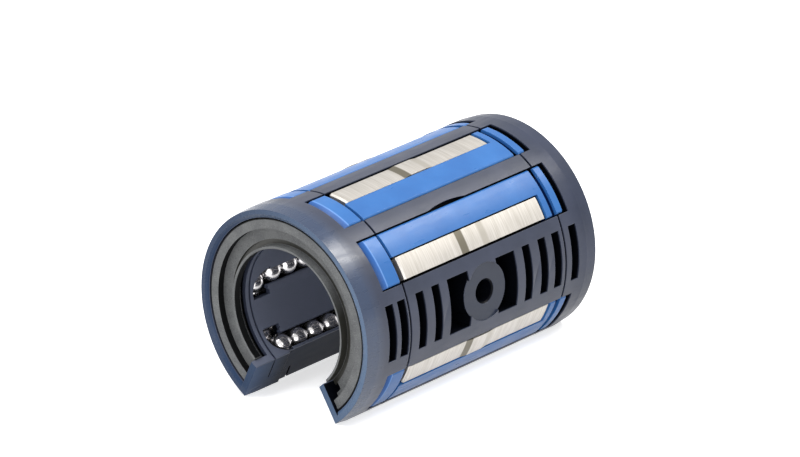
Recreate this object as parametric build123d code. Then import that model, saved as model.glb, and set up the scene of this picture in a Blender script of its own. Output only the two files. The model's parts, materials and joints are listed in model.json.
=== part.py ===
from build123d import *
import math
import os

# Open linear ball bearing for a round shaft on a support rail.
# It is modelled about its own axis, with the front face up, and turned at the end so that
# the axis runs along Y, the front face looks along -Y and the opening points down.
# A station is a distance behind the front face. An angle is counted about the axis from the
# middle of the opening towards the side with the fixing hole.

# Main sizes in millimetres
shaft_diameter = 25.0
outer_diameter = 40.0
bearing_length = 58.0
opening_mouth = 22.0
opening_angle = 57.8

# Clearances
fit_gap = 0.10
seam_gap = 0.45
cover_gap = 0.30
seal_gap = 0.20
bore_clearance = 0.25
ring_bore_step = 0.15
ball_gap = 0.07
trough_gap = 0.11
ceiling_gap = 0.12
raceway_clearance = 0.25
plate_gap = 0.15
cutter_overrun = 1.0

# Balls and their closed tracks
ball_share = 0.20496
ball_play = 0.016
row_gap = 0.451
return_depth = 1.11
load_offset_angle = 6.85
lip_thickness = 0.45
lip_slot_gap = 0.087
turn_lip = 0.45
turn_floor_gap = 0.42
turn_slot_share = 0.55
turn_slot_margin = 0.20
turn_wall = 0.41

# Circuits: walls that the first and the last one leave beside the opening, angles of the
# others, and for all of them the side on which the balls return and the start of the fill
first_edge_wall = 0.745
last_edge_wall = 0.11
inner_circuit_angles = (125.85, 162.85, 200.75, 267.15)
return_sides = (-1, 1, -1, -1, 1, -1)
fill_starts = (0.0, 1.1, 2.3, 0.6, 3.3, 1.1)
window_depth = 2.4
window_margin = 0.088

# Raceway plates
plate_side = 0.05
plate_corner = 0.3
plate_front_gap = 0.9
seat_share = 0.789
plate_relief = 0.22
land_drop = 0.02
land_length = 3.7
land_slope = 1.6

# Cage
front_seam = 10.8
rear_length = 8.2
shell_wall = 2.55
opening_setback = 0.35

# End rings
lead_in = 0.25
lead_in_length = 2.6
face_width = 0.85
face_bevel = 0.5
pocket_wall = 1.8
pocket_depth = 3.9
web_thickness = 0.8
end_wall = 1.3
end_wall_length = 8.4
front_window_edge = 5.75
rear_window_edge = 5.25

# Seals
seal_inset = 0.6
seal_flange_width = 1.8
seal_step = 1.3
seal_thickness = 3.2
lip_inset = 0.75
lip_width = 0.45
lip_groove_width = 1.0
lip_groove_depth = 0.4
lip_land = 1.35
seal_notch_length = 1.3
seal_notch_width = 1.3
seal_notch_rise = 0.5
seal_notch_floor = 0.6

# Blue covers and end caps
cover_inset = 0.07
cover_foot = 1.25
cover_rear_gap = 1.0
cover_side_gap = 0.25
cap_length = 4.5
rear_bar_gap = 1.3
rear_bar_length = 1.45
rear_tongue = 0.8
cap_bevel = 1.4
cap_bevel_drop = 0.8
cap_shelf_drop = 1.0
cap_room_end = 1.45
edge_bevel = 0.18

# Ribbed panels, with slots counted from the seams
slot_width = 1.95
slot_height = 10.2
slot_depth = 5.6
front_ring_slots = (1.70, 4.65)
rear_ring_slots = (2.70,)
front_cage_slots = (2.85, 6.80)
rear_cage_slots = (1.70, 5.25, 9.30)
panel_rib = 1.925
boss_pocket_starts = (3.2, 3.8)
boss_radius = 5.2
boss_shift = 0.9
spot_face_margin = 0.15
fixing_hole_diameter = 4.0
fixing_hole_chamfer = 0.3
plain_panel_angle = 234.0
plain_slot_height = 8.4
plain_slot_count = 5
thumb_notch_length = 9.6
thumb_notch_depth = 0.55
thumb_notch_drop = 2.2
thumb_notch_shift = 0.7

# Radii that follow from the sizes above
outer_radius = outer_diameter / 2
shaft_radius = shaft_diameter / 2
bore_radius = shaft_radius + bore_clearance
ring_bore_radius = bore_radius + ring_bore_step
cover_radius = outer_radius - cover_inset
spigot_radius = outer_radius - shell_wall - fit_gap / 2
window_floor = outer_radius - window_depth
slot_floor = outer_radius - slot_depth
face_inner_radius = outer_radius - lead_in - face_width
pocket_radius = outer_radius - pocket_wall
lip_radius = shaft_radius + lip_width
lip_groove_radius = lip_radius + lip_groove_width
spot_face = math.sqrt(outer_radius ** 2 - boss_radius ** 2) - spot_face_margin
reach = outer_diameter

# Opening
half_opening = math.radians(opening_angle / 2)
mouth_x = math.sqrt(outer_radius ** 2 - (opening_mouth / 2) ** 2)
opening_apex = mouth_x - opening_mouth / 2 / math.tan(half_opening)

# Rows of balls: X is outwards in the middle of the window, Y across it
ball_radius = ball_share * math.sqrt(shaft_radius * (outer_radius - shaft_radius))
ball_pitch = 2 * ball_radius + ball_play
track_width = 2 * ball_radius + row_gap
load_radius = shaft_radius + ball_radius
load_x = load_radius * math.cos(math.radians(load_offset_angle))
load_y = -load_radius * math.sin(math.radians(load_offset_angle))
return_y = load_y + track_width
return_x = math.sqrt((outer_radius - return_depth - ball_radius) ** 2 - return_y ** 2)
return_rise = return_x - load_x
track_half_width = ball_radius + ball_gap
turn_radius = track_width / 2
turn_y = load_y + turn_radius
pocket_reach = turn_radius + track_half_width
half_window = turn_y + pocket_reach + window_margin
lip_top = load_radius - bore_radius - lip_thickness
half_lip_slot = math.sqrt(ball_radius ** 2 - lip_top ** 2) + lip_slot_gap
half_turn_slot = half_lip_slot + turn_slot_margin
channel_floor = bore_radius + lip_thickness

# Lengths that follow from the sizes above
half_length = bearing_length / 2
rear_seam = bearing_length - rear_length
cage_front = pocket_depth + web_thickness + seam_gap / 2
track_half_length = half_length - cage_front - turn_wall - pocket_reach
plate_front = front_seam + plate_front_gap
plate_rear = rear_seam - cover_rear_gap - cover_foot - 2 * plate_gap
plate_station = (plate_front + plate_rear) / 2
half_plate_length = (plate_rear - plate_front) / 2
half_plate = ball_radius + plate_side
plate_seat = load_radius + seat_share * ball_radius


def edge_angle(radius):
    """Angle at which a face of the cage's opening meets a radius."""
    apex = opening_apex - opening_setback / math.sin(half_opening)
    return half_opening - math.asin(apex * math.sin(half_opening) / radius)


def circuit_angles():
    """Angles of the middles of the windows, in degrees from the middle of the opening."""
    corner = math.hypot(window_floor, half_window)
    first = edge_angle(corner) + first_edge_wall / corner + math.atan(half_window / window_floor)
    channel_side = math.asin((track_half_width + last_edge_wall) / channel_floor)
    last = math.degrees(edge_angle(channel_floor) + channel_side) + load_offset_angle
    return (math.degrees(first), *inner_circuit_angles, 360 - last)


circuits = tuple(zip(circuit_angles(), return_sides, fill_starts))


def level(station):
    """Height along the modelling axis of a station."""
    return half_length - station


def turned(profile):
    """Solid of revolution of a profile of (radius, station) points."""
    points = [(radius, level(station)) for radius, station in profile]
    return revolve(Plane.XZ * make_face(Polyline(points, close=True)), Axis.Z)


def block(x_range, y_range, z_range):
    """Rectangular block between three pairs of limits."""
    spans = [(min(pair), max(pair)) for pair in (x_range, y_range, z_range)]
    centre = [(low + high) / 2 for low, high in spans]
    size = [high - low for low, high in spans]
    return Pos(*centre) * Box(*size)


def prism(points, z_range):
    """Prism along the axis over an outline in the cross-section."""
    low, high = min(z_range), max(z_range)
    face = make_face(Polyline(points, close=True))
    return Pos(0, 0, low) * extrude(face, high - low, dir=(0, 0, 1))


def rod(x, y, radius, z_range):
    """Round rod parallel to the axis."""
    low, high = min(z_range), max(z_range)
    return Pos(x, y, (low + high) / 2) * Cylinder(radius, high - low)


def opening(setback, z_range):
    """Wedge that leaves the bottom open, its two faces moved back into the wall."""
    apex = opening_apex - setback / math.sin(half_opening)
    spread = (reach - apex) * math.tan(half_opening)
    return prism([(apex, 0), (reach, spread), (reach, -spread)], z_range)


def in_load_frame(shape):
    """Turns a shape from the middle of the window to the loaded row."""
    return Rot(0, 0, -load_offset_angle) * shape


def in_circuit(shape, circuit):
    """Places a shape of the pattern circuit at one of the circuits."""
    angle, side, _ = circuit
    return Rot(0, 0, angle) * (shape if side > 0 else mirror(shape, Plane.XZ))


# Tracks of the balls

def track_point(travel):
    """Centre of a ball on the closed track, after a travel along it."""
    run = 2 * track_half_length
    turn = math.pi * turn_radius
    travel = travel % (2 * (run + turn))
    if travel < run:
        return Vector(return_x, return_y, travel - track_half_length)
    if travel < run + turn:
        angle = math.pi - (travel - run) / turn_radius
    elif travel < 2 * run + turn:
        return Vector(load_x, load_y, track_half_length - (travel - run - turn))
    else:
        angle = -(travel - 2 * run - turn) / turn_radius
    share = (1 - math.cos(angle)) / 2
    along = math.copysign(track_half_length, math.sin(angle)) + turn_radius * math.sin(angle)
    return Vector(load_x + return_rise * share, load_y + track_width * share, along)


def next_travel(travel):
    """Travel of the ball that follows at one pitch."""
    start = track_point(travel)
    low, high = travel + 0.5 * ball_pitch, travel + 2.0 * ball_pitch
    for _ in range(40):
        middle = (low + high) / 2
        if (track_point(middle) - start).length < ball_pitch:
            low = middle
        else:
            high = middle
    return high


def ball_centres(start):
    """Centres of the balls that fill the track from a starting travel."""
    loop = 2 * (2 * track_half_length + math.pi * turn_radius)
    first = track_point(start)
    travel = start
    centres = []
    while travel < start + loop - ball_pitch / 2:
        if not centres or (track_point(travel) - first).length >= ball_pitch:
            centres.append(track_point(travel))
        travel = next_travel(travel)
    return centres


def ball_circuit(circuit):
    """Loose balls of one circuit."""
    balls = [Pos(*centre) * Sphere(ball_radius) for centre in ball_centres(circuit[2])]
    return in_circuit(Compound(balls), circuit)


def turn_pocket(end):
    """Pocket in which the balls turn round, over a floor that rises to the return row."""
    centre = end * track_half_length
    disc = Pos(0, turn_y, centre) * Rot(0, 90, 0) * Cylinder(pocket_reach, 2 * reach)
    floor_low = bore_radius + turn_lip
    floor_high = return_x - ball_radius - turn_floor_gap
    rise = (floor_high - floor_low) / track_width
    left = turn_y - pocket_reach - cutter_overrun
    right = turn_y + pocket_reach + cutter_overrun
    wedge = prism([
        (floor_low + rise * (left - load_y), left),
        (reach, left),
        (reach, right),
        (floor_low + rise * (right - load_y), right),
    ], (centre, centre + end * (pocket_reach + cutter_overrun)))
    return disc & wedge


def turn_slot(end):
    """Slot through the bore wall that follows the first part of the turn."""
    centre = end * track_half_length
    outer = Cylinder(turn_radius + half_turn_slot, reach)
    inner = Cylinder(turn_radius - half_turn_slot, reach)
    ring = Pos(reach / 2, turn_y, centre) * Rot(0, 90, 0) * (outer - inner)
    stop_y = turn_y + turn_slot_share * turn_radius
    keep = block((0, reach), (turn_y - pocket_reach, stop_y), (centre, centre + end * pocket_reach))
    return ring & keep


def circuit_cut():
    """Everything that one circuit takes out of the cage."""
    run = (-track_half_length, track_half_length)
    plate_end = half_plate_length + plate_gap
    plate_middle = level(plate_station)
    window = block(
        (window_floor, reach),
        (-half_window, half_window),
        (level(front_seam) + cutter_overrun, level(rear_seam) - cutter_overrun),
    )
    seat = block(
        (plate_seat - 2 * plate_gap, reach),
        (-half_plate - plate_gap, half_plate + plate_gap),
        (plate_middle - plate_end, plate_middle + plate_end),
    )
    channel = block(
        (channel_floor, reach),
        (-track_half_width, track_half_width),
        run,
    )
    slot = block((0, reach), (-half_lip_slot, half_lip_slot), run)
    back = block(
        (return_x - ball_radius - ball_gap, reach),
        (return_y - track_half_width, return_y + track_half_width),
        run,
    )
    cut = window + in_load_frame(seat) + in_load_frame(channel) + in_load_frame(slot) + back
    for end in (-1, 1):
        cut = cut + turn_pocket(end) + turn_slot(end)
    return cut


# Panels between the circuits

def slot_block(middle, height):
    """Cutter for one slot of a ribbed panel on the side of the modelling axis Y."""
    half = slot_width / 2
    return block((-height / 2, height / 2), (slot_floor, reach), (middle - half, middle + half))


def slot_levels():
    """Levels of the slots in the end rings and of those near the ends of the cage."""
    front = [level(front_seam) + step for step in front_ring_slots]
    front += [level(front_seam) - step for step in front_cage_slots]
    rear = [level(rear_seam) - step for step in rear_ring_slots]
    rear += [level(rear_seam) + step for step in rear_cage_slots]
    return front + rear


def inner_slot_levels():
    """Levels of the front and the rear slot that lie nearest to the middle."""
    return level(front_seam) - max(front_cage_slots), level(rear_seam) + max(rear_cage_slots)


def panel_slots():
    """Slots of the panel with the fixing hole, with the two pockets beside the boss."""
    levels = slot_levels()
    cut = slot_block(levels[0], slot_height)
    for middle in levels[1:]:
        cut = cut + slot_block(middle, slot_height)
    boss = radial_cutter(boss_radius, 0, reach)
    for slot, start in zip(inner_slot_levels(), boss_pocket_starts):
        side = math.copysign(1, slot)
        pocket = block(
            (-slot_height / 2, slot_height / 2),
            (slot_floor, reach),
            (side * start, slot - side * (slot_width / 2 + panel_rib)),
        )
        cut = cut + (pocket - boss)
    return cut


def plain_panel_slots():
    """Slots of the panel on the far side."""
    front, rear = inner_slot_levels()
    pitch = (front - rear) / (plain_slot_count + 1)
    levels = slot_levels() + [rear + pitch * (k + 1) for k in range(plain_slot_count)]
    cut = slot_block(levels[0], plain_slot_height)
    for middle in levels[1:]:
        cut = cut + slot_block(middle, plain_slot_height)
    return Rot(0, 0, plain_panel_angle - 90) * cut


def radial_cutter(radius, low, high):
    """Round cutter on the axis of the fixing hole, between two distances from the main axis."""
    middle = (low + high) / 2
    return Pos(0, middle, -boss_shift) * Rot(90, 0, 0) * Cylinder(radius, high - low)


def fixing_hole():
    """Radial hole through the boss, with its chamfer and the flat face around it."""
    hole_radius = fixing_hole_diameter / 2
    chamfer_middle = spot_face - fixing_hole_chamfer / 2
    chamfer_cut = Pos(0, chamfer_middle, -boss_shift) * Rot(-90, 0, 0) * Cone(
        hole_radius, hole_radius + fixing_hole_chamfer, fixing_hole_chamfer)
    hole = radial_cutter(hole_radius, 0, reach)
    return hole + chamfer_cut + radial_cutter(boss_radius, spot_face, reach)


def thumb_notch():
    """Shallow lens-shaped notch beside the cover, for lifting it."""
    half = thumb_notch_length / 2
    curve = (half ** 2 + thumb_notch_depth ** 2) / (2 * thumb_notch_depth)
    edge = half_window - cover_inset
    centre = Pos(0, edge + thumb_notch_depth - curve, thumb_notch_shift)
    disc = centre * Rot(0, 90, 0) * Cylinder(curve, 2 * reach)
    keep = block(
        (outer_radius - thumb_notch_drop, reach),
        (half_window - cutter_overrun, reach),
        (thumb_notch_shift - half, thumb_notch_shift + half),
    )
    return disc & keep


# Cage and rings

def ball_cage():
    """Cage that holds the plates and guides the balls, with a thinner spigot at each end."""
    body = turned([
        (bore_radius, cage_front),
        (spigot_radius, cage_front),
        (spigot_radius, front_seam),
        (outer_radius, front_seam),
        (outer_radius, rear_seam),
        (spigot_radius, rear_seam),
        (spigot_radius, bearing_length - cage_front),
        (bore_radius, bearing_length - cage_front),
    ])
    body = body - opening(0, (-half_length, half_length))
    body = body - opening(opening_setback, (level(rear_seam), level(end_wall_length)))
    pattern = circuit_cut()
    for circuit in circuits:
        body = body - in_circuit(pattern, circuit)
        if circuit[1] > 0:
            body = body - in_circuit(thumb_notch(), circuit)
    return body - panel_slots() - plain_panel_slots() - fixing_hole()


def end_ring(seam, window_edge):
    """End ring as it stands at the front, before the windows are cut."""
    shell_start = pocket_depth + web_thickness
    shell_end = seam - seam_gap
    inner = spigot_radius + fit_gap / 2
    body = turned([
        (outer_radius - lead_in, 0),
        (outer_radius, lead_in_length),
        (outer_radius, shell_end),
        (inner, shell_end),
        (inner, shell_start),
        (ring_bore_radius, shell_start),
        (ring_bore_radius, 0),
    ])
    face_bevel_cut = turned([
        (shaft_radius, 0),
        (face_inner_radius, 0),
        (pocket_radius, face_bevel),
        (shaft_radius, face_bevel),
    ])
    pocket = turned([
        (shaft_radius, 0),
        (pocket_radius, 0),
        (pocket_radius, pocket_depth),
        (shaft_radius, pocket_depth),
    ])
    pocket = pocket - opening(end_wall, (0, half_length))
    face_bevel_cut = face_bevel_cut - opening(end_wall, (0, half_length))
    body = body - pocket - face_bevel_cut - opening(0, (0, half_length))
    body = body - opening(opening_setback, (0, level(end_wall_length)))
    window = block(
        (spigot_radius - cutter_overrun, reach),
        (-half_window, half_window),
        (level(seam) - cutter_overrun, level(window_edge)),
    )
    for circuit in circuits:
        body = body - in_circuit(window, circuit)
    return body


def front_ring():
    """Front end ring."""
    return end_ring(front_seam, front_window_edge) - panel_slots() - plain_panel_slots()


def rear_ring():
    """Rear end ring, turned over from the front one."""
    ring = end_ring(bearing_length - rear_seam, rear_window_edge)
    return mirror(ring, Plane.XY) - panel_slots() - plain_panel_slots()


def seal():
    """Lip seal as it stands at the front."""
    outer = pocket_radius - seal_gap
    flange = outer - seal_flange_width
    web = seal_inset + seal_step
    back = seal_inset + seal_thickness
    groove_floor = web + lip_groove_depth
    body = turned([
        (outer, seal_inset),
        (flange, seal_inset),
        (flange, web),
        (lip_groove_radius, web),
        (lip_groove_radius, groove_floor),
        (lip_radius, groove_floor),
        (lip_radius, lip_inset),
        (shaft_radius + fit_gap, lip_inset),
        (shaft_radius, lip_inset + fit_gap),
        (shaft_radius, lip_inset + fit_gap + lip_land),
        (lip_groove_radius, back),
        (outer, back),
    ])
    body = body - opening(end_wall + fit_gap, (0, half_length))
    near_end = opening(end_wall + fit_gap + seal_notch_length, (0, half_length)) & block(
        (0, reach), (0, reach), (0, level(seal_inset)))
    notch_radius = lip_groove_radius + seal_notch_width
    notch = turned([
        (lip_groove_radius, web - seal_notch_rise),
        (notch_radius, web - seal_notch_rise),
        (notch_radius, back - seal_notch_floor),
        (lip_groove_radius, back - seal_notch_floor),
    ])
    return body - (notch & near_end)


def front_seal():
    """Front lip seal."""
    return seal()


def rear_seal():
    """Rear lip seal, turned over from the front one."""
    return mirror(seal(), Plane.XY)


# Pieces of one circuit

def raceway_plate():
    """Steel plate over the loaded row, with a raised land on which it tilts."""
    middle = level(plate_station)
    half = half_plate_length
    land_top = outer_radius - land_drop
    relief_top = outer_radius - plate_relief
    land_half = land_length / 2
    slope_end = land_half + land_slope
    section = [
        (relief_top - plate_corner, -half),
        (relief_top, -half + plate_corner),
        (relief_top, -slope_end),
        (land_top, -land_half),
        (land_top, land_half),
        (relief_top, slope_end),
        (relief_top, half - plate_corner),
        (relief_top - plate_corner, half),
        (shaft_radius, half),
        (shaft_radius, -half),
    ]
    envelope = turned([(radius, plate_station - along) for radius, along in section])
    bar = block((plate_seat, reach), (-half_plate, half_plate), (middle - half, middle + half))
    groove_end = half + cutter_overrun
    groove = rod(
        load_radius, 0, ball_radius + raceway_clearance, (middle - groove_end, middle + groove_end)
    )
    return in_load_frame((bar & envelope) - groove)


def return_trough(z_range):
    """Room for the balls of the return row under a cover."""
    return rod(return_x, return_y, ball_radius + trough_gap, z_range)


def bevelled(z_range, drop):
    """Outer form of a cover or cap: a strip of the cylinder with bevelled side edges."""
    half = half_window - cover_gap
    radius = outer_radius - drop
    edge_x = math.sqrt(radius ** 2 - half ** 2)
    floor = window_floor - cutter_overrun
    strip = block((floor, reach), (-half, half), z_range) & rod(0, 0, radius, z_range)
    for side in (-1, 1):
        corner = [
            (edge_x - edge_bevel, side * (half + cutter_overrun)),
            (edge_x - edge_bevel, side * half),
            (edge_x + edge_bevel, side * (half - 2 * edge_bevel)),
            (reach, side * (half - 2 * edge_bevel)),
            (reach, side * (half + cutter_overrun)),
        ]
        strip = strip - prism(corner, z_range)
    return strip


def return_cover():
    """Blue cover over the return row, with a foot over the end of the plate."""
    front = level(front_seam) - fit_gap
    rear = level(rear_seam) + cover_rear_gap
    seat = block((window_floor + fit_gap / 2, reach), (-reach, reach), (front, rear))
    strip = bevelled((front, rear), cover_inset) & seat
    beside = block(
        (0, reach),
        (-reach, half_plate + cover_side_gap),
        (rear + cover_foot, front + cutter_overrun),
    )
    body = strip - in_load_frame(beside)
    return body - return_trough((rear - cutter_overrun, front + cutter_overrun))


def cap_ceiling(z_range):
    """Room under an end cap for the balls in the turn."""
    slope = return_rise / track_width
    lift = (ball_radius + ceiling_gap) * math.hypot(1, slope)
    top = return_x + ball_radius + 2 * ball_gap
    left, right = -half_window - cutter_overrun, half_window + cutter_overrun
    top_y = load_y + (top - lift - load_x) / slope
    return prism([
        (load_x + slope * (left - load_y) + lift, left),
        (top, top_y),
        (top, right),
        (0, right),
        (0, left),
    ], z_range)


def cap_end_bevel(edge_station):
    """Cutter for the bevel along the outer end of a front cap."""
    low = cover_radius - cap_bevel_drop
    return turned([
        (low, edge_station - cutter_overrun),
        (low, edge_station),
        (cover_radius, edge_station + cap_bevel),
        (reach, edge_station + cap_bevel),
        (reach, edge_station - cutter_overrun),
    ])


def end_cap(seam_level, edge_level, high_part):
    """Blue cap over the turn of one circuit, lower outside the levels of its high part."""
    toward_end = math.copysign(1, edge_level)
    near = seam_level + toward_end * 2 * fit_gap
    far = edge_level - toward_end * fit_gap
    whole = (-half_length, half_length)
    low_part = rod(0, 0, outer_radius - cap_shelf_drop, whole)
    high = block((0, reach), (-reach, reach), high_part)
    body = bevelled((near, far), cover_inset) & (low_part + high)
    body = body - rod(0, 0, spigot_radius + fit_gap, whole)
    room_far = toward_end * (track_half_length + turn_radius + cap_room_end)
    return body - cap_ceiling((near - toward_end, room_far))


def front_cap():
    """Cap over the front turn, high at its outer end and bevelled there."""
    edge = level(front_window_edge)
    body = end_cap(level(front_seam), edge, (edge - cap_length, edge))
    return body - cap_end_bevel(front_window_edge + fit_gap)


def rear_cap():
    """Cap over the rear turn, with a raised bar across it and a low tongue past the seam."""
    edge = rear_window_edge - half_length
    seam = level(rear_seam)
    bar_start = edge + rear_bar_gap
    body = end_cap(seam, edge, (bar_start, bar_start + rear_bar_length))
    span = (seam - 3 * fit_gap, seam + rear_tongue)
    floor = block((window_floor + fit_gap / 2, reach), (-reach, reach), span)
    return body + ((bevelled(span, cap_shelf_drop) & floor) - cap_ceiling(span))


# Writing the pieces in the part's own frame

final_frame = Location(Plane(origin=(0, 0, 0), x_dir=(0, 0, -1), z_dir=(0, -1, 0)))


def write(name, shape):
    """Writes one piece, turned into the part's frame."""
    export_step(final_frame * shape, f"parts/{name}.step")


os.makedirs("parts", exist_ok=True)
write("ball_cage", ball_cage())
write("front_ring", front_ring())
write("rear_ring", rear_ring())
write("front_seal", front_seal())
write("rear_seal", rear_seal())
patterns = {
    "raceway_plate": raceway_plate(),
    "return_cover": return_cover(),
    "front_cap": front_cap(),
    "rear_cap": rear_cap(),
}
for number, circuit in enumerate(circuits, start=1):
    for name, pattern in patterns.items():
        write(f"{name}_{number}", in_circuit(pattern, circuit))
    write(f"ball_circuit_{number}", ball_circuit(circuit))
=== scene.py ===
import json
import math

import bmesh
import bpy
from mathutils import Matrix, Vector


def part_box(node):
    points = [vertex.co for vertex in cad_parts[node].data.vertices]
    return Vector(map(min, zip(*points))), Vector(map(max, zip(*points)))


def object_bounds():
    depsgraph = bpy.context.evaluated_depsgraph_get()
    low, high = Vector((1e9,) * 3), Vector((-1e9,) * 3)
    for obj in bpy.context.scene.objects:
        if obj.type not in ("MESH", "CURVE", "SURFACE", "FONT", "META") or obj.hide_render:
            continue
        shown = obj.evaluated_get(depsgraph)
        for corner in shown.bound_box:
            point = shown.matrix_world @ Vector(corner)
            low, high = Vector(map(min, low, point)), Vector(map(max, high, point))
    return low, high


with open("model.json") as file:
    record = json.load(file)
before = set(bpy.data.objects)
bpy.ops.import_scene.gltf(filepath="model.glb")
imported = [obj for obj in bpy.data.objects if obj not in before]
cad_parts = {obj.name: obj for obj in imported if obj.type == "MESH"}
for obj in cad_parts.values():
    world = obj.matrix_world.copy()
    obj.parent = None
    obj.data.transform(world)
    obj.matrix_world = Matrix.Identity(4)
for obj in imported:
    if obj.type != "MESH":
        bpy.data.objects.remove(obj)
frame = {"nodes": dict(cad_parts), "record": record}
cad_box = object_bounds()

# The bearing lies along Y with its front face at -Y, its opening down and the ribbed panel at +X.
# Sizes are in metres and angles in degrees, unless a name says otherwise.
MM = 0.001

# Camera
CAMERA_TARGET = Vector((11.3, -10.8, 13.46)) * MM
CAMERA_AZIMUTH = 44.49
CAMERA_ELEVATION = 20.58
CAMERA_ROLL = -3.59
CAMERA_DISTANCE = 1.0225
CAMERA_LENS_MM = 270.0
CAMERA_SENSOR_MM = 36.0
CAMERA_NEAREST = 0.05
CAMERA_FARTHEST = 20.0

# Room
FLOOR_RADIUS = 4.0
FLOOR_SEGMENTS = 96
ROOM_LIGHT = 0.50
BACKDROP_LIGHT = 1.0
FLOOR_GLOW = 0.60
FLOOR_BOUNCE = 0.42
WHITE = (1.0, 1.0, 1.0)
WARM_WHITE = (1.0, 0.97, 0.91)

# Lamps, each with its place, the side of its square, its watts and its colour
LAMPS = {
    "key_lamp": ((-0.20, -0.40, 0.98), 0.60, 7.0, WHITE),
    "side_lamp": ((0.95, -0.25, 0.55), 0.50, 1.4, WHITE),
    "rim_lamp": ((0.38, 0.52, 0.76), 0.34, 6.0, WARM_WHITE),
    "front_lamp": ((0.52, -0.83, 0.14), 0.40, 2.8, WHITE),
}

# Sizes taken from the frame
MOUNTS = {mount["name"]: mount for mount in frame["record"]["mounts"]}
OUTER_RADIUS = MOUNTS["housing_seat"]["dims"]["r_mm"] * MM
BORE_RADIUS = MOUNTS["shaft_bore"]["dims"]["r_mm"] * MM
FIXING_HOLE_RADIUS = MOUNTS["fixing_hole"]["dims"]["r_mm"] * MM
BOSS_CENTRE = MOUNTS["fixing_hole"]["pos_m"][1]
END_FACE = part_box("rear_ring")[1].y
PLATE_MIDDLE = sum(corner.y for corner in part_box("raceway_plate_3")) / 2

# Where the colour and finish of the navy mouldings change, painted light and shade among them. A
# name with RADII has two distances from the axis.
SLOT_RADII = (BORE_RADIUS + 1.1 * MM, OUTER_RADIUS - 0.25 * MM)
SLOT_END = END_FACE - 3.7 * MM
BOSS_EDGE = 5.25 * MM
BOSS_HOLE_EDGE = FIXING_HOLE_RADIUS + 0.25 * MM
BOSS_TOP_START = OUTER_RADIUS - 0.95 * MM
BORE_WALL_EDGE = BORE_RADIUS + 0.55 * MM
LEAD_IN_START = OUTER_RADIUS - 1.5 * MM
LEAD_IN_FADE = (-END_FACE + 4.5 * MM, -END_FACE + 2.0 * MM)
REAR_LEAD_IN_FADE = (END_FACE - 7.0 * MM, END_FACE - 2.0 * MM)
END_BAND_START = END_FACE - 0.45 * MM
END_BAND_FADE = (-12.0 * MM, 18.0 * MM)
OPENING_HALF_WIDTH = 11.4 * MM
OPENING_TOP = -9.0 * MM
OPENING_RADII = (BORE_RADIUS + 0.6 * MM, OUTER_RADIUS - 0.15 * MM)
OPENING_FADE = (-END_FACE - 0.6 * MM, -END_FACE + 8.0 * MM)

# Where the colour and finish of the blue covers and caps change, painted shade and highlight among
# them
CHANNEL_EDGE = OUTER_RADIUS - 0.7 * MM
CAP_BEVEL = (-END_FACE + 5.8 * MM, -END_FACE + 7.2 * MM)
CAP_EDGE = (CAP_BEVEL[1] - 0.05 * MM, CAP_BEVEL[1] + 0.15 * MM)
REAR_GAP_START = END_FACE - 6.7 * MM

# Where the colour and finish of the seals change, painted shade among them
SEAL_RADIUS = 18.0 * MM
SEAL_RIM_START = SEAL_RADIUS - 0.19 * MM
FLANGE_WALL_RADII = (SEAL_RADIUS - 2.1 * MM, SEAL_RADIUS - 1.7 * MM)
LIP_LAND_EDGE = BORE_RADIUS + 0.075 * MM
LIP_SIDE_RADII = (BORE_RADIUS + 0.4 * MM, BORE_RADIUS + 0.5 * MM)
LIP_GROOVE_RADII = (BORE_RADIUS + 0.53 * MM, BORE_RADIUS + 1.48 * MM)
LIP_SIDE_FADE = (9.0 * MM, 3.0 * MM)

# Slopes at the two ends of a plate's raised land
LAND_HALF_LENGTH = 1.845 * MM
LAND_SLOPE_LENGTH = 1.6 * MM
LAND_SLOPE_END = LAND_HALF_LENGTH + LAND_SLOPE_LENGTH
LAND_FRONT_SLOPE = (PLATE_MIDDLE - LAND_SLOPE_END, PLATE_MIDDLE - LAND_HALF_LENGTH)
LAND_REAR_SLOPE = (PLATE_MIDDLE + LAND_HALF_LENGTH, PLATE_MIDDLE + LAND_SLOPE_END)

# How far a surface looks along the axis, from 0 to 1: where a mask starts and where it is full
END_FACES = (0.6, 0.8)
WALLS = (0.7, 0.5)
SEAL_WALLS = (0.6, 0.4)

# Rounded edges and the depth of the fine relief
PLASTIC_EDGE = 0.12 * MM
PLASTIC_RELIEF = 0.02 * MM
STEEL_EDGE = 0.08 * MM
STEEL_RELIEF = 0.015 * MM
RUBBER_RELIEF = 0.03 * MM
EDGE_COSINES = (0.985, 0.80)

# Features a metre, along X, Y and Z
GRINDING_STREAKS = (160, 6500, 160)
BROAD_STREAKS = (90, 1300, 90)


def linear(red, green, blue):
    """Linear colour of an 8-bit screen colour."""
    def channel(value):
        share = value / 255
        return share / 12.92 if share <= 0.04045 else ((share + 0.055) / 1.055) ** 2.4
    return (channel(red), channel(green), channel(blue), 1.0)


# Colours of the navy plastic, painted light and shade among them
NAVY = linear(54, 60, 77)
NAVY_CLOUD = linear(62, 68, 87)
# Painted shade on the boss's flat face
NAVY_BOSS_SHADE = linear(32, 40, 58)
# Painted light: the bore wall is paler than the body
NAVY_BORE_PAINTED_LIGHT = linear(110, 116, 134)
NAVY_LEAD_IN = linear(50, 65, 92)
# Painted light and shade across the end faces: darker at -X, paler at +X
NAVY_FACE_SHADED_LEFT = linear(40, 60, 90)
NAVY_FACE_LIT_RIGHT = linear(92, 114, 144)
# Painted light at the front of the faces beside the opening, painted shade further in
NAVY_OPENING_FRONT = linear(84, 106, 142)
NAVY_OPENING = linear(36, 44, 60)
# Painted shade down in the slots, pockets, seams and the recess
NAVY_DEEP_SHADE = linear(8, 10, 16)
# Painted highlight on rounded edges
NAVY_PAINTED_EDGE_LIGHT = linear(98, 108, 132)

# Colours of the blue plastic, painted shade and highlight among them
BLUE = linear(50, 105, 173)
BLUE_CLOUD = linear(56, 114, 183)
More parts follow.
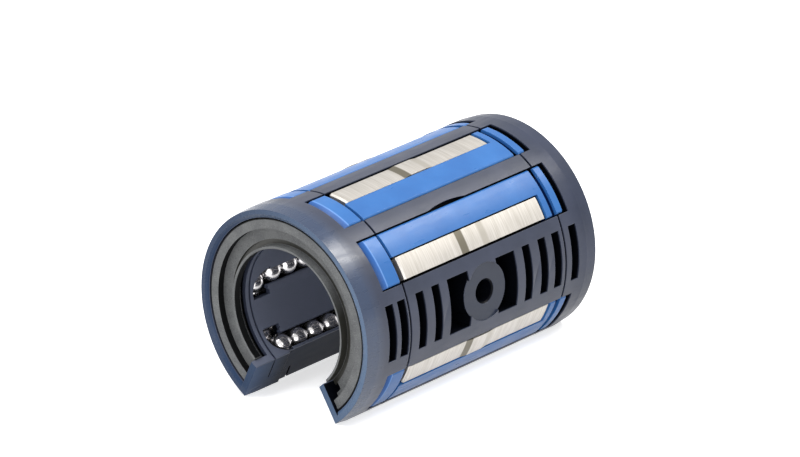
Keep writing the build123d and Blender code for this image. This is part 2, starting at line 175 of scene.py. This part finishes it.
# Painted shade on the caps' bevels
BLUE_BEVEL_SHADE_START = linear(20, 62, 120)
BLUE_BEVEL_SHADE_END = linear(44, 98, 172)
# Painted highlight along the caps' ridge
BLUE_CAP_HIGHLIGHT = linear(104, 150, 214)
# Painted shade down in the channels and in the rear gap
BLUE_CHANNEL_SHADE = linear(8, 34, 82)
BLUE_REAR_GAP_SHADE = linear(6, 10, 20)
# Painted highlight on rounded edges
BLUE_PAINTED_EDGE_LIGHT = linear(112, 158, 220)

# Colours of the steel, the rubber, the balls and the floor, painted shade on the steel and the
# rubber among them
STEEL = linear(178, 173, 165)
STEEL_STREAK = linear(206, 202, 197)
# Painted shade on the front slope of a plate's land
STEEL_FRONT_SLOPE_SHADE = linear(112, 107, 95)
STEEL_REAR_SLOPE = linear(180, 175, 166)
RUBBER = linear(92, 94, 96)
RUBBER_CLOUD = linear(108, 110, 111)
RUBBER_PALE_GRAIN = linear(138, 139, 138)
RUBBER_DARK_GRAIN = linear(66, 68, 70)
# Painted shade in the groove outside the lip and on the lip's side
RUBBER_GROOVE_SHADE = linear(42, 42, 37)
RUBBER_SHADE = linear(14, 15, 16)
BALL = linear(236, 233, 233)
BALL_OIL = linear(218, 216, 217)
FLOOR = linear(240, 241, 243)
FLOOR_DUST = linear(246, 246, 247)
FLOOR_DIMMED = (FLOOR_BOUNCE, FLOOR_BOUNCE, FLOOR_BOUNCE, 1.0)


class Graph:
    """Node tree of a material or a world, with short calls for the nodes used here."""

    def __init__(self, owner, output_kind):
        owner.use_nodes = True
        self.owner = owner
        self.tree = owner.node_tree
        self.tree.nodes.clear()
        self.output = self.tree.nodes.new(output_kind)

    def node(self, kind, inputs=None, **settings):
        made = self.tree.nodes.new(kind)
        for key, value in settings.items():
            setattr(made, key, value)
        for key, value in (inputs or {}).items():
            self.feed(made.inputs[key], value)
        return made

    def feed(self, socket, value):
        if isinstance(value, bpy.types.NodeSocket):
            self.tree.links.new(value, socket)
        else:
            socket.default_value = value

    def finish(self, surface):
        """Joins the surface to the output and returns the material or world."""
        self.tree.links.new(surface, self.output.inputs["Surface"])
        return self.owner

    def principled(self, inputs):
        return self.finish(self.node("ShaderNodeBsdfPrincipled", inputs).outputs[0])

    def math(self, operation, first, second=0.0):
        return self.node("ShaderNodeMath", {0: first, 1: second}, operation=operation).outputs[0]

    def times(self, first, *others):
        """Product of the values."""
        for other in others:
            first = self.math("MULTIPLY", first, other)
        return first

    def highest(self, first, *others):
        """Highest of the values."""
        for other in others:
            first = self.math("MAXIMUM", first, other)
        return first

    def length(self, first, second):
        """Length of the line with these two sides."""
        squares = [self.math("MULTIPLY", side, side) for side in (first, second)]
        return self.math("SQRT", self.math("ADD", *squares))

    def span(self, value, low, high, to_low=0.0, to_high=1.0):
        """Maps a value from one range to another and clamps it."""
        return self.node("ShaderNodeMapRange", {
            "Value": value, "From Min": low, "From Max": high, "To Min": to_low,
            "To Max": to_high}).outputs[0]

    def level(self, share, at_none, at_full):
        """Number that goes from one to the other as a share goes from 0 to 1."""
        return self.span(share, 0.0, 1.0, at_none, at_full)

    def above(self, value, edge, blur):
        """0 below an edge and 1 above it, with a soft step."""
        return self.span(value, edge - blur, edge + blur)

    def below(self, value, edge, blur):
        """1 below an edge and 0 above it, with a soft step."""
        return self.span(value, edge - blur, edge + blur, 1.0, 0.0)

    def within(self, value, low, high, blur):
        """1 between two edges and 0 outside them, with soft steps."""
        return self.times(self.above(value, low, blur), self.below(value, high, blur))

    def mix(self, share, first, second):
        """Mixed colour: the colours are inputs 6 and 7 of the node, and output 2 is their mix."""
        return self.node("ShaderNodeMix", {"Factor": share, 6: first, 7: second},
                         data_type="RGBA").outputs[2]

    def coordinates(self, kind):
        """Object place or Normal of the point that is seen."""
        return self.node("ShaderNodeTexCoord").outputs[kind]

    def part(self, vector, axis):
        """X (0), Y (1) or Z (2) of a vector."""
        return self.node("ShaderNodeSeparateXYZ", {0: vector}).outputs[axis]

    def along(self, axis):
        """Object coordinate along X (0), Y (1) or Z (2)."""
        return self.part(self.coordinates("Object"), axis)

    def radius(self):
        """Distance from the bearing's axis."""
        return self.length(self.along(0), self.along(2))

    def facing(self, limits):
        """Mask by how far the surface looks along the bearing's axis, between two limits."""
        return self.span(self.math("ABSOLUTE", self.part(self.coordinates("Normal"), 1)), *limits)

    def noise(self, per_metre, detail=2.0, factors=(1, 1, 1), roughness=0.5):
        """Noise with that many features a metre, stretched by the factors."""
        place = self.node("ShaderNodeVectorMath", {0: self.coordinates("Object"), 1: factors},
                          operation="MULTIPLY").outputs[0]
        return self.node("ShaderNodeTexNoise", {
            "Vector": place, "Scale": per_metre, "Detail": detail,
            "Roughness": roughness}).outputs["Fac"]

    def bump(self, height, strength, distance, normal=None):
        inputs = {"Height": height, "Strength": strength, "Distance": distance}
        if normal is not None:
            inputs["Normal"] = normal
        return self.node("ShaderNodeBump", inputs).outputs[0]

    def rounded(self, radius):
        """Normal with the edges rounded off."""
        return self.node("ShaderNodeBevel", {"Radius": radius}, samples=4).outputs[0]

    def edges(self, rounded):
        """0 on a plain surface and near 1 on an edge."""
        true = self.node("ShaderNodeNewGeometry").outputs["Normal"]
        dot = self.node("ShaderNodeVectorMath", {0: rounded, 1: true},
                        operation="DOT_PRODUCT").outputs["Value"]
        return self.span(dot, *EDGE_COSINES)

    def seen_directly(self):
        """1 for camera, glossy and transmission rays, and 0 for the rays that light things."""
        path = self.node("ShaderNodeLightPath").outputs
        return self.highest(path["Is Camera Ray"], path["Is Glossy Ray"],
                            path["Is Transmission Ray"])


def material_graph(name):
    """Empty node tree of a new material."""
    return Graph(bpy.data.materials.new(name), "ShaderNodeOutputMaterial")


def cloudy(g, colour, cloud):
    """Plastic's colour with faint clouds of a second one."""
    return g.mix(g.span(g.noise(160, detail=3.0), 0.35, 0.7), colour, cloud)


def moulded(g, body, painted_edge_light, dark, roughness, grain, shine):
    """Finishes a moulded plastic: a faint grain, cloudy gloss and a painted highlight that makes
    the rounded edges paler, left off where the dark share is.
    """
    flow = g.noise(900, factors=(1, 0.25, 1))
    rounded = g.rounded(PLASTIC_EDGE)
    # Painted highlight: the rounded edges take a paler colour, broken up by noise.
    painted_edge_light_share = g.times(g.edges(rounded), g.span(flow, 0.3, 0.75, 0.25, 0.8),
                         g.level(dark, 1.0, 0.0))
    return g.principled({
        "Base Color": g.mix(painted_edge_light_share, body, painted_edge_light),
        "Roughness": g.math("ADD", g.span(flow, 0.3, 0.7, -0.05, 0.07), roughness),
        "Specular IOR Level": g.times(g.level(dark, 1.0, 0.15), shine),
        "Normal": g.bump(g.noise(9000), grain, PLASTIC_RELIEF, rounded),
        "IOR": 1.5,
    })


def boss_share(g):
    """1 on the boss of the ribbed panel and 0 elsewhere."""
    reach = g.length(g.math("SUBTRACT", g.along(1), BOSS_CENTRE), g.along(2))
    boss = g.within(reach, BOSS_HOLE_EDGE, BOSS_EDGE, blur=0.05 * MM)
    return g.times(boss, g.math("GREATER_THAN", g.along(0), BOSS_TOP_START))


def opening_shares(g):
    """Share of the two faces beside the opening, and of the faces behind them in the recess, which
    get painted shade.
    """
    sideways = g.along(0)
    beside = g.within(sideways, -OPENING_HALF_WIDTH, OPENING_HALF_WIDTH, blur=0.05 * MM)
    low = g.math("LESS_THAN", g.along(2), OPENING_TOP)
    between = g.within(g.radius(), *OPENING_RADII, blur=0.05 * MM)
    near = g.times(beside, low, between, g.facing(WALLS))
    outward = g.times(sideways, g.part(g.coordinates("Normal"), 0))
    behind = g.math("GREATER_THAN", outward, 0.0)
    return g.times(near, g.level(behind, 1.0, 0.0)), g.times(near, behind)


def slot_share(g, boss, opening):
    """1 down in the slots, pockets, windows, notches and seams, where painted shade goes, and 0
    elsewhere.
    """
    below = g.within(g.radius(), *SLOT_RADII, blur=0.12 * MM)
    between = g.within(g.along(1), -SLOT_END, SLOT_END, blur=0.1 * MM)
    return g.times(below, between, g.level(g.highest(boss, opening), 1.0, 0.0))


def navy_plastic():
    """Navy plastic with painted light and shade: nearly black in the slots and the recess, darker
    on the boss, paler on the bore wall, bluer end faces darker at -X than at +X, and the opening's
    faces pale at the front and dark further in.
    """
    g = material_graph("navy_plastic")
    radius, along = g.radius(), g.along(1)
    # Painted shade on the boss
    boss = boss_share(g)
    opening, recess = opening_shares(g)
    # Painted light on the bore wall
    bore = g.times(g.below(radius, BORE_WALL_EDGE, blur=0.05 * MM), g.facing(WALLS))
    lead_in = g.times(g.above(radius, LEAD_IN_START, blur=0.1 * MM),
                      g.span(along, *LEAD_IN_FADE))
    face = g.times(g.above(g.math("ABSOLUTE", along), END_BAND_START, blur=0.05 * MM),
                   g.facing(END_FACES))
    # Painted shade: nearly black down in the slots and in the recess behind the opening.
    deep = g.highest(slot_share(g, boss, opening), recess)

    # The end faces are tinted bluer, with painted light and shade: darker towards -X, paler towards
    # +X.
    face_colour = g.mix(g.span(g.along(0), *END_BAND_FADE), NAVY_FACE_SHADED_LEFT, NAVY_FACE_LIT_RIGHT)
    # Painted light and shade on the faces beside the opening: paler blue at the front end, fading
    # to dark further in.
    opening_colour = g.mix(g.span(along, *OPENING_FADE), NAVY_OPENING_FRONT, NAVY_OPENING)
    body = cloudy(g, NAVY, NAVY_CLOUD)
    for share, colour in ((boss, NAVY_BOSS_SHADE), (bore, NAVY_BORE_PAINTED_LIGHT), (lead_in, NAVY_LEAD_IN),
                          (face, face_colour), (opening, opening_colour), (deep, NAVY_DEEP_SHADE)):
        body = g.mix(share, body, colour)

    rear_lead_in = g.span(along, *REAR_LEAD_IN_FADE, 0.0, 0.7)
    dull = g.highest(opening, bore, g.times(face, 0.7), rear_lead_in)
    shine = g.times(g.level(lead_in, 0.32, 0.55), g.level(dull, 1.0, 0.2))
    roughness = g.level(lead_in, 0.33, 0.27)
    return moulded(g, body, NAVY_PAINTED_EDGE_LIGHT, deep, roughness, grain=0.35, shine=shine)


def blue_plastic():
    """Bright blue plastic with painted shade on the caps' bevels, down in the channels and in the
    rear gap, and a painted highlight on the caps' ridge.
    """
    g = material_graph("blue_plastic")
    along = g.along(1)
    # Painted shade on the caps' bevels, darkest at the front.
    bevel = g.within(along, *CAP_BEVEL, blur=0.1 * MM)
    bevel_colour = g.mix(g.span(along, *CAP_BEVEL), BLUE_BEVEL_SHADE_START, BLUE_BEVEL_SHADE_END)
    # Painted highlight along the ridge at the back of the caps' bevels.
    edge = g.within(along, *CAP_EDGE, blur=0.08 * MM)
    # Painted shade: dark blue down in the channels and nearly black in the rear gap.
    low = g.times(g.below(g.radius(), CHANNEL_EDGE, blur=0.1 * MM), g.level(bevel, 1.0, 0.0))
    low_colour = g.mix(g.above(along, REAR_GAP_START, blur=0.1 * MM), BLUE_CHANNEL_SHADE, BLUE_REAR_GAP_SHADE)

    body = cloudy(g, BLUE, BLUE_CLOUD)
    for share, colour in ((bevel, bevel_colour), (edge, BLUE_CAP_HIGHLIGHT), (low, low_colour)):
        body = g.mix(share, body, colour)
    return moulded(g, body, BLUE_PAINTED_EDGE_LIGHT, low, roughness=0.32, grain=0.22, shine=0.3)


def ground_steel():
    """Steel ground across the plate, so the scratches run across the bearing's length, with painted
    shade on the front slope of the raised land.
    """
    g = material_graph("ground_steel")
    streak = g.noise(1.0, factors=GRINDING_STREAKS, roughness=0.6)
    broad = g.noise(1.0, detail=1.0, factors=BROAD_STREAKS)
    tone = g.math("ADD", g.times(streak, 0.8), g.times(broad, 0.2))
    colour = g.mix(g.span(tone, 0.33, 0.66), STEEL, STEEL_STREAK)
    # Painted shade on the land's front slope, and an even grey on the rear slope.
    for slope, slope_colour in ((LAND_FRONT_SLOPE, STEEL_FRONT_SLOPE_SHADE),
                                (LAND_REAR_SLOPE, STEEL_REAR_SLOPE)):
        colour = g.mix(g.within(g.along(1), *slope, blur=0.12 * MM), colour, slope_colour)
    return g.principled({
        "Base Color": colour,
        "Metallic": 0.8,
        "Roughness": g.span(g.noise(300), 0.3, 0.7, 0.42, 0.52),
        "Normal": g.bump(streak, 0.3, STEEL_RELIEF, g.rounded(STEEL_EDGE)),
    })


def seal_rubber():
    """Grey fine-grained rubber with painted shade: dark in the groove outside the lip and on the
    lip's side, and on the flange wall, the lip's land and rim.
    """
    g = material_graph("seal_rubber")
    radius = g.radius()
    upright = g.facing(SEAL_WALLS)
    # Painted shade: dark in the groove outside the lip, and on the lip's side, darker towards the
    # bottom.
    groove = g.within(radius, *LIP_GROOVE_RADII, blur=0.04 * MM)
    lip_side = g.times(g.within(radius, *LIP_SIDE_RADII, blur=0.02 * MM), upright,
                       g.span(g.along(2), *LIP_SIDE_FADE))
    wall = g.within(radius, *FLANGE_WALL_RADII, blur=0.02 * MM)
    land = g.below(radius, LIP_LAND_EDGE, blur=0.025 * MM)
    rim = g.above(radius, SEAL_RIM_START, blur=0.03 * MM)
    shade = g.highest(g.times(g.highest(wall, land), upright), rim)
    pale_grain = g.span(g.noise(5200, detail=1.0), 0.58, 0.68, 0.0, 0.45)
    dark_grain = g.span(g.noise(4700, detail=1.0), 0.42, 0.32, 0.0, 0.5)

    rubber = g.mix(g.span(g.noise(400, detail=3.0), 0.35, 0.65), RUBBER, RUBBER_CLOUD)
    for share, colour in ((pale_grain, RUBBER_PALE_GRAIN), (dark_grain, RUBBER_DARK_GRAIN),
                          (g.highest(groove, lip_side), RUBBER_GROOVE_SHADE), (shade, RUBBER_SHADE)):
        rubber = g.mix(share, rubber, colour)
    return g.principled({
        "Base Color": rubber,
        "Roughness": g.level(groove, 0.6, 0.45),
        "Specular IOR Level": g.level(shade, 0.5, 0.1),
        "Normal": g.bump(g.noise(14000), 0.25, RUBBER_RELIEF),
    })


def ball_steel():
    """Polished ball steel with a trace of oil."""
    g = material_graph("ball_steel")
    film = g.noise(700)
    return g.principled({
        "Base Color": g.mix(g.span(film, 0.4, 0.65), BALL, BALL_OIL),
        "Metallic": 0.95,
        "Roughness": g.span(film, 0.35, 0.7, 0.17, 0.23),
    })


# Finish of each kind of node
FINISHES = {
    navy_plastic: ("ball_cage", "front_ring", "rear_ring"),
    blue_plastic: ("return_cover", "front_cap", "rear_cap"),
    ground_steel: ("raceway_plate",),
    seal_rubber: ("front_seal", "rear_seal"),
    ball_steel: ("ball_circuit",),
}


def dress_nodes():
    """Gives every CAD node its finish. The circuits' nodes end in the circuit's number."""
    materials = {}
    for finish, kinds in FINISHES.items():
        materials.update(dict.fromkeys(kinds, finish()))
    for name, node in frame["nodes"].items():
        kind = name.rstrip("0123456789").rstrip("_")
        node.data.materials.clear()
        node.data.materials.append(materials[kind])


def floor_material():
    """Pale floor that shows nearly white but throws back less light than it seems to."""
    g = material_graph("floor")
    seen = g.seen_directly()
    colour = g.mix(seen, FLOOR_DIMMED, g.mix(g.noise(40, detail=3.0), FLOOR, FLOOR_DUST))
    pale = g.node("ShaderNodeBsdfDiffuse", {"Color": colour}).outputs[0]
    glow = g.node("ShaderNodeEmission", {"Strength": g.times(seen, FLOOR_GLOW)}).outputs[0]
    return g.finish(g.node("ShaderNodeAddShader", {0: pale, 1: glow}).outputs[0])


def make_floor():
    """Pale floor that the bearing stands on."""
    mesh = bpy.data.meshes.new("floor")
    disc = bmesh.new()
    place = Matrix.Translation((0, 0, cad_box[0].z))
    bmesh.ops.create_circle(disc, cap_ends=True, segments=FLOOR_SEGMENTS, radius=FLOOR_RADIUS,
                            matrix=place)
    disc.to_mesh(mesh)
    disc.free()
    mesh.materials.append(floor_material())
    floor = bpy.data.objects.new("floor", mesh)
    bpy.context.scene.collection.objects.link(floor)


def make_room():
    """World that shows as white and lights the bearing evenly from all round."""
    g = Graph(bpy.data.worlds.new("room"), "ShaderNodeOutputWorld")
    strength = g.level(g.seen_directly(), ROOM_LIGHT, BACKDROP_LIGHT)
    background = g.node("ShaderNodeBackground", {"Color": (*WHITE, 1.0), "Strength": strength})
    bpy.context.scene.world = g.finish(background.outputs[0])


def add_lamp(name, place, size, watts, colour):
    """Square soft lamp that looks at the bearing."""
    data = bpy.data.lights.new(name, "AREA")
    data.shape = "SQUARE"
    data.size = size
    data.energy = watts
    data.color = colour
    lamp = bpy.data.objects.new(name, data)
    lamp.location = place
    lamp.rotation_mode = "QUATERNION"
    lamp.rotation_quaternion = (-Vector(place)).to_track_quat("-Z", "Y")
    bpy.context.scene.collection.objects.link(lamp)


def make_camera():
    """Camera at the photograph's angle."""
    azimuth, elevation = math.radians(CAMERA_AZIMUTH), math.radians(CAMERA_ELEVATION)
    back = Vector((
        math.sin(azimuth) * math.cos(elevation),
        -math.cos(azimuth) * math.cos(elevation),
        math.sin(elevation),
    ))
    right = Vector((math.cos(azimuth), math.sin(azimuth), 0))
    right.rotate(Matrix.Rotation(-math.radians(CAMERA_ROLL), 3, -back))
    up = back.cross(right)
    data = bpy.data.cameras.new("camera")
    data.lens = CAMERA_LENS_MM
    data.sensor_width = CAMERA_SENSOR_MM
    data.clip_start = CAMERA_NEAREST
    data.clip_end = CAMERA_FARTHEST
    camera = bpy.data.objects.new("camera", data)
    bpy.context.scene.collection.objects.link(camera)
    turn = Matrix((right, up, back)).transposed().to_4x4()
    camera.matrix_world = Matrix.Translation(CAMERA_TARGET + back * CAMERA_DISTANCE) @ turn
    bpy.context.scene.camera = camera


dress_nodes()
make_floor()
make_room()
make_camera()
for lamp_name, lamp in LAMPS.items():
    add_lamp(lamp_name, *lamp)
bpy.context.scene.view_settings.view_transform = "Standard"
